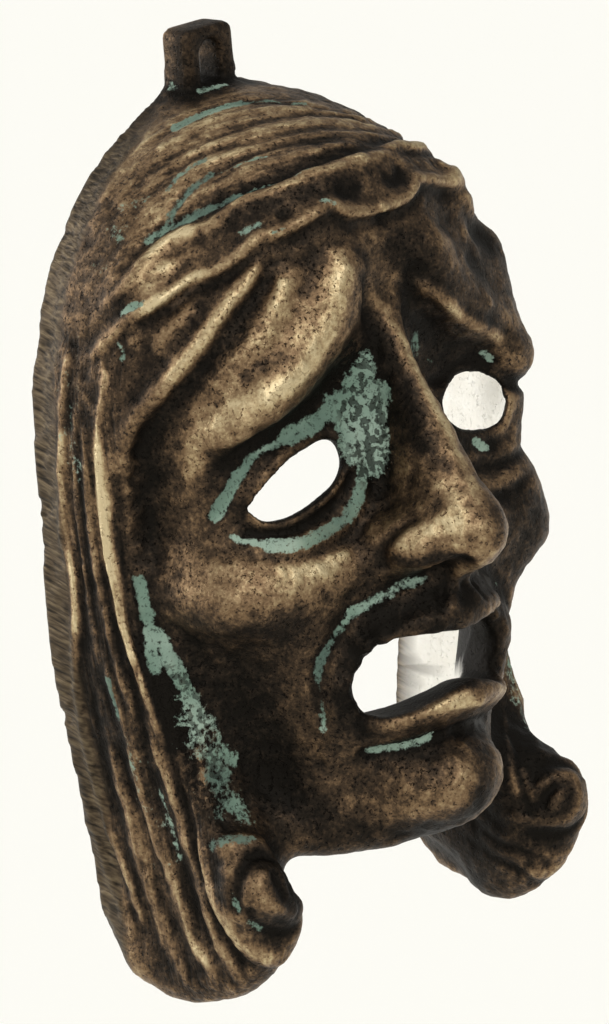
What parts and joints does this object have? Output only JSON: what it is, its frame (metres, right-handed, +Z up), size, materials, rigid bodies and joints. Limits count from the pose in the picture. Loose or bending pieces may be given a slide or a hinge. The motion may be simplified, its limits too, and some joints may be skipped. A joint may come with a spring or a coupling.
{
  "type": "theatre mask",
  "caption": "Small cast bronze wall mask of Greek tragedy with open eyes and mouth, long curled locks and a hanging lug on the crown.",
  "frame": {"origin": "middle of the hanging eye, in the plane of the ground back rim", "axes": "+Z up along the mask, +Y out of the back towards the wall, so the face looks along -Y, and +X towards the mask's own left"},
  "size_m": [0.0708, 0.0501, 0.1252],
  "materials": {
    "bronze": "dark patinated cast bronze, rubbed bright on the high places, with pale green in the hollows"
  },
  "bodies": {
    "root": {"theatre_mask": "bronze"}
  },
  "joints": []
}
